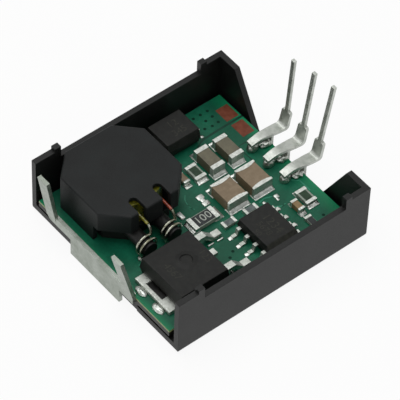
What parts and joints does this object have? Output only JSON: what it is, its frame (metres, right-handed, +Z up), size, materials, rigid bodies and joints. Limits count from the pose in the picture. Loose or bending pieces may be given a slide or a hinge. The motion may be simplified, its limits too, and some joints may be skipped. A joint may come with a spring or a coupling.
{
  "type": "step-down converter module",
  "caption": "Small step-down converter module: a populated green circuit board in an open black tray, with upright pins at one end and a tabbed metal strip at the other.",
  "frame": {"origin": "middle of the tray's flat underside, halfway along its length and width", "axes": "+X from the open end to the end with the pins, +Y towards the long wall beside the rectifier, +Z up"},
  "size_m": [0.0287, 0.023, 0.0125],
  "materials": {
    "tray": "moulded, satin",
    "board": "solder mask, satin",
    "bracket": "tinned",
    "lead": "tinned",
    "solder": "bright solder",
    "inductor_plastic": "moulded, matt",
    "ferrite": "matt",
    "winding": "enamelled wire",
    "wire_end": "tinned wire",
    "package": "moulding compound",
    "package_metal": "tinned",
    "ceramic_tan": "ceramic",
    "ceramic_brown": "ceramic",
    "resistor_black": "glazed",
    "chip_green": "glazed",
    "end_metal": "tinned"
  },
  "bodies": {
    "root": {"housing": "tray", "circuit_board": "board", "mounting_bracket": "bracket", "lead_1": "lead", "lead_2": "lead", "lead_3": "lead", "solder_joints": "solder", "inductor_case": "inductor_plastic", "inductor_base": "inductor_plastic", "inductor_core": "ferrite", "inductor_winding": "winding", "winding_end_1": "wire_end", "winding_end_2": "wire_end", "power_switch_body": "package", "power_switch_tab": "package_metal", "power_switch_leads": "package_metal", "rectifier_body": "package", "rectifier_terminals": "package_metal", "controller_body": "package", "controller_leads": "package_metal", "capacitor_1_body": "ceramic_brown", "capacitor_2_body": "ceramic_brown", "capacitor_3_body": "ceramic_tan", "capacitor_4_body": "ceramic_tan", "sense_resistor_body": "resistor_black", "window_chip_1_body": "chip_green", "window_chip_2_body": "chip_green", "small_capacitor_body": "ceramic_tan", "small_resistor_bodies": "resistor_black", "capacitor_1_ends": "end_metal", "capacitor_2_ends": "end_metal", "capacitor_3_ends": "end_metal", "capacitor_4_ends": "end_metal", "sense_resistor_ends": "end_metal", "window_chip_1_ends": "end_metal", "window_chip_2_ends": "end_metal", "small_capacitor_ends": "end_metal", "small_resistor_ends": "end_metal"}
  },
  "joints": []
}
